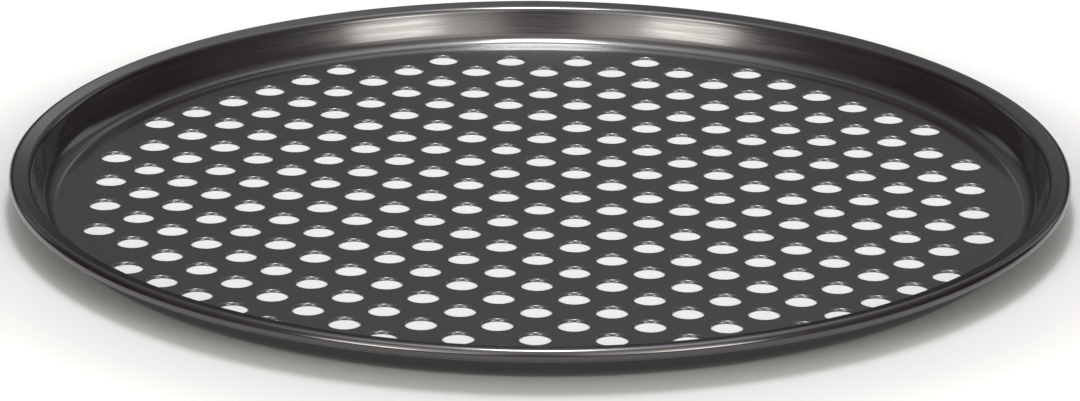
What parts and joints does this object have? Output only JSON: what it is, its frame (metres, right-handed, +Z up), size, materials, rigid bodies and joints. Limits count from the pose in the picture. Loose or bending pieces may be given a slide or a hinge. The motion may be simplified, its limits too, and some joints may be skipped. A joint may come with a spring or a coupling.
{
  "type": "perforated pizza pan",
  "caption": "Shallow round baking pan pressed from one steel sheet, with a staggered field of round holes, a leaning wall and a rolled rim.",
  "frame": {"origin": "centre of the flat base, on its underside, which is the bottom centre of the pan", "axes": "+Z up along the pan's axis, out of its open side; +X and +Y along the rows of holes"},
  "size_m": [0.323, 0.323, 0.0126],
  "materials": {
    "nonstick_coating": "dark grey non-stick coating with a satin sheen, on both faces of pressed steel sheet"
  },
  "bodies": {
    "root": {"pan": "nonstick_coating"}
  },
  "joints": []
}
